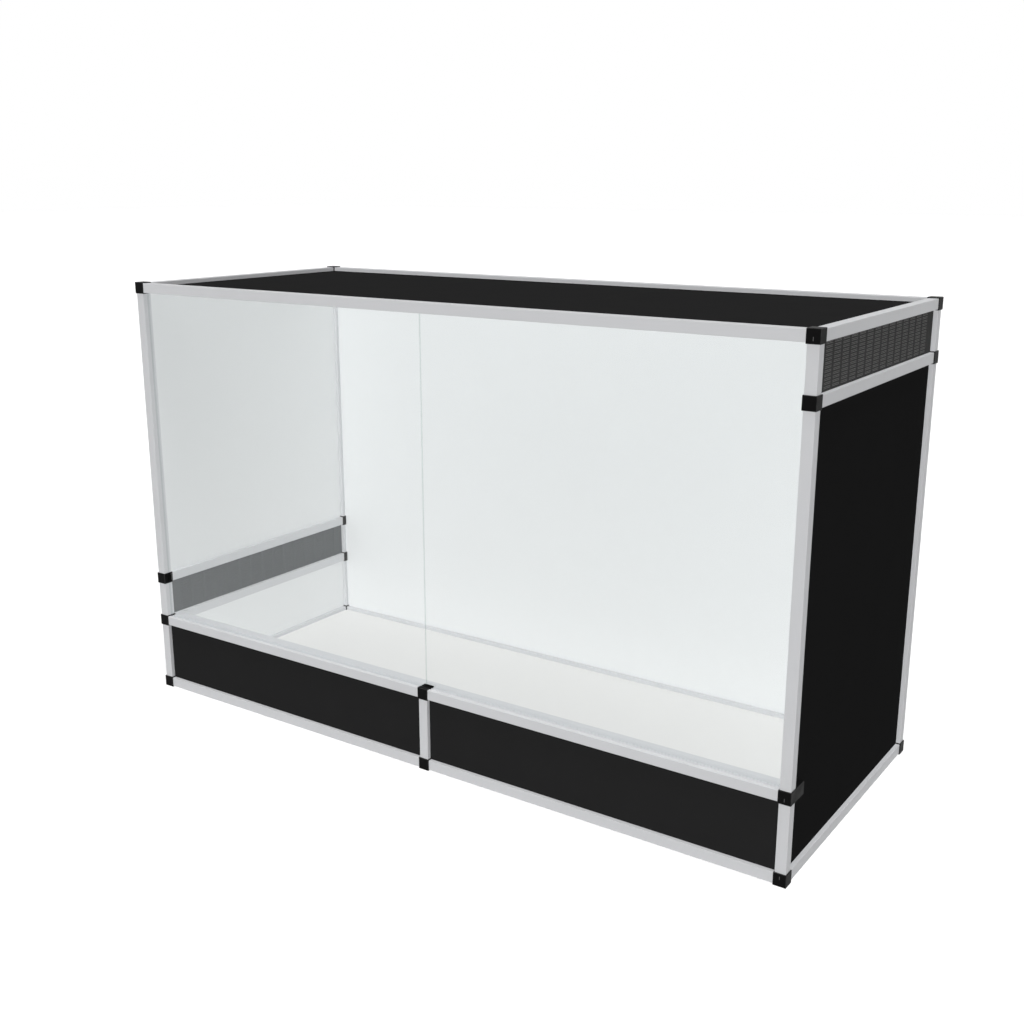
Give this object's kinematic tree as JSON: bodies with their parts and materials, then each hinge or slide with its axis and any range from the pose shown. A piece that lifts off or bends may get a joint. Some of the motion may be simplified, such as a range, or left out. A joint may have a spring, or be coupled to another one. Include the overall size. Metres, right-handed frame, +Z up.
{
  "type": "reptile terrarium",
  "caption": "Wide framed terrarium of square metal tubes on cube connectors, with board panels, two slotted side vents and two sliding glass front doors.",
  "frame": {"origin": "middle of the base, on the surface that the bottom connectors stand on", "axes": "+X to the right seen from the front, +Y to the back, +Z up"},
  "size_m": [1.524, 0.624, 0.924],
  "materials": {
    "tube": "satin anodised",
    "connector": "moulded, fine grain",
    "panel": "smooth board, black outside and white inside",
    "vent": "moulded",
    "glass": "clear float glass with polished edges"
  },
  "bodies": {
    "frame": {"rail_bottom_front_left": "tube", "rail_bottom_front_right": "tube", "rail_bottom_back": "tube", "rail_sill_left": "tube", "rail_sill_right": "tube", "rail_top_front": "tube", "rail_top_back": "tube", "rail_bottom_left": "tube", "rail_bottom_right": "tube", "rail_left_vent_lower": "tube", "rail_left_vent_upper": "tube", "rail_right_vent": "tube", "rail_top_left": "tube", "rail_top_right": "tube", "post_front_left_lower": "tube", "post_front_left_middle": "tube", "post_front_left_upper": "tube", "post_front_mid": "tube", "post_front_right_lower": "tube", "post_front_right_middle": "tube", "post_front_right_upper": "tube", "post_back_left_lower": "tube", "post_back_left_middle": "tube", "post_back_left_upper": "tube", "post_back_right_lower": "tube", "post_back_right_upper": "tube", "connector_bottom_front_left": "connector", "connector_bottom_front_mid": "connector", "connector_bottom_front_right": "connector", "connector_bottom_back_left": "connector", "connector_bottom_back_right": "connector", "connector_sill_front_left": "connector", "connector_sill_front_mid": "connector", "connector_sill_front_right": "connector", "connector_sill_back_left": "connector", "connector_vent_front_left": "connector", "connector_vent_back_left": "connector", "connector_vent_front_right": "connector", "connector_vent_back_right": "connector", "connector_top_front_left": "connector", "connector_top_front_right": "connector", "connector_top_back_left": "connector", "connector_top_back_right": "connector", "panel_floor": "panel", "panel_top": "panel", "panel_back": "panel", "panel_right": "panel", "panel_left_lower": "panel", "panel_left_upper": "panel", "panel_front_left": "panel", "panel_front_right": "panel", "vent_left": "vent", "vent_right": "vent"},
    "left_door": {"door_left": "glass"},
    "right_door": {"door_right": "glass"}
  },
  "joints": [
    {"name": "left_door_slide", "type": "slide", "parent": "frame", "child": "left_door", "axis": [1, 0, 0], "range_m": [0, 0.7355]},
    {"name": "right_door_slide", "type": "slide", "parent": "frame", "child": "right_door", "axis": [1, 0, 0], "range_m": [-0.7355, 0]}
  ]
}
